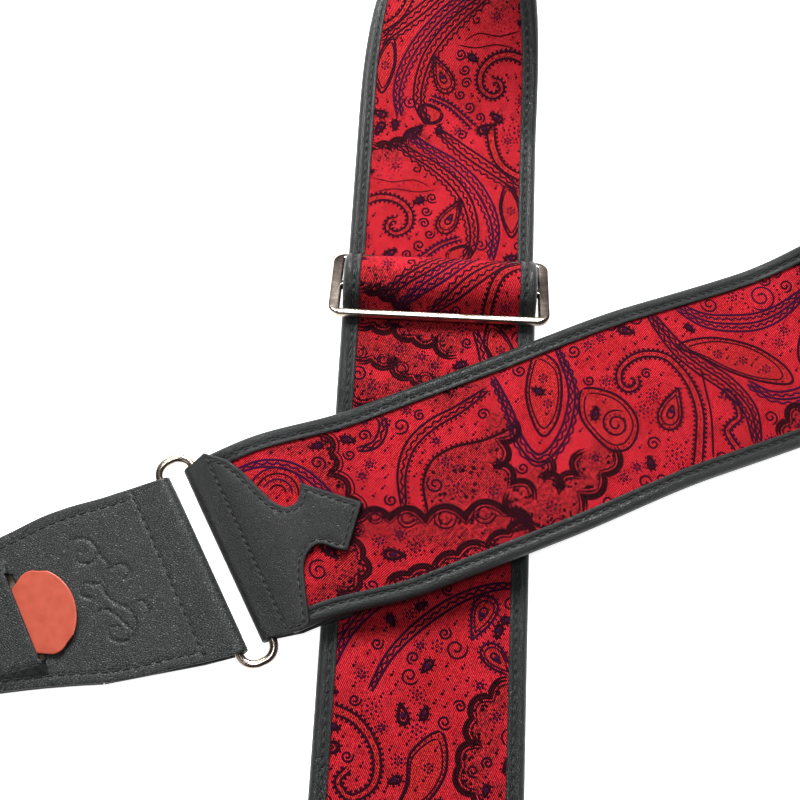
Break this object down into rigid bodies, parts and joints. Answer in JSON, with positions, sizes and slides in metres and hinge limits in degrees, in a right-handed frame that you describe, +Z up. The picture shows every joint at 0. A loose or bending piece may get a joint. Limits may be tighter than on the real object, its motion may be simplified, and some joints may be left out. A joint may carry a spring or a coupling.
{
  "type": "guitar strap",
  "caption": "Wide padded jacquard guitar strap with leather edging, wire rings, leather button ends, a sliding length adjuster and a plectrum slot, laid in an open loop.",
  "frame": {"origin": "centre of the part's bounding box at the level of the surface it lies on", "axes": "+Z up from the table, +Y along the straight adjusting end towards the turn, +X to the right in the picture"},
  "size_m": [0.4476, 0.5982, 0.0622],
  "materials": {
    "jacquard": "woven, slight sheen",
    "foam": "matt",
    "lining": "suede",
    "edging": "grained, semi-matt",
    "leather": "grained, semi-matt",
    "stiffener": "matt board",
    "nickel": "polished nickel",
    "pick": "satin plastic"
  },
  "bodies": {
    "strap": {"main_face": "jacquard", "main_padding": "foam", "main_lining": "lining", "main_binding_left": "edging", "main_binding_right": "edging", "front_wrap": "leather"},
    "front_ring": {"front_ring": "nickel"},
    "front_end": {"front_end_top": "leather", "front_end_backing": "leather", "front_end_stiffener": "stiffener"},
    "pick": {"pick": "pick"},
    "slider": {"slider_frame": "nickel"},
    "tail": {"tail_face": "jacquard", "tail_padding": "foam", "tail_lining": "lining", "tail_binding_left": "edging", "tail_binding_right": "edging"},
    "rear_ring": {"rear_ring": "nickel"},
    "rear_end": {"rear_end_top": "leather", "rear_end_backing": "leather", "rear_end_stiffener": "stiffener"}
  },
  "joints": [
    {"name": "front_ring_swing", "type": "hinge", "parent": "strap", "child": "front_ring", "pos_m": [-0.08424, -0.04497, 0.00942], "axis": [-0.4924, 0.8704, 0], "range_deg": [-60, 90]},
    {"name": "front_end_swing", "type": "hinge", "parent": "front_ring", "child": "front_end", "pos_m": [-0.09321, -0.05004, 0.00942], "axis": [-0.4924, 0.8704, 0], "range_deg": [-60, 70]},
    {"name": "pick_slide", "type": "slide", "parent": "front_end", "child": "pick", "axis": [0.8615, 0.4874, 0.1426], "range_m": [0, 0.014]},
    {"name": "slider_adjust", "type": "slide", "parent": "strap", "child": "slider", "axis": [0, 1, 0], "range_m": [0, 0.036], "deforming": ["tail_face", "tail_padding", "tail_lining", "tail_binding_left", "tail_binding_right"]},
    {"name": "tail_feed", "type": "slide", "parent": "slider", "child": "tail", "axis": [0, 1, 0], "range_m": [-0.018, 0], "deforming": ["tail_face", "tail_padding", "tail_lining", "tail_binding_left", "tail_binding_right"]},
    {"name": "rear_ring_swing", "type": "hinge", "parent": "tail", "child": "rear_ring", "pos_m": [-0.02672, -0.15678, 0.0057], "axis": [-1, 0, 0], "range_deg": [-60, 90]},
    {"name": "rear_end_swing", "type": "hinge", "parent": "rear_ring", "child": "rear_end", "pos_m": [-0.02672, -0.16708, 0.0057], "axis": [-1, 0, 0], "range_deg": [-60, 70]}
  ],
  "couplings": [
    {"joint": "tail_feed", "follows": "slider_adjust", "ratio": -0.5}
  ]
}
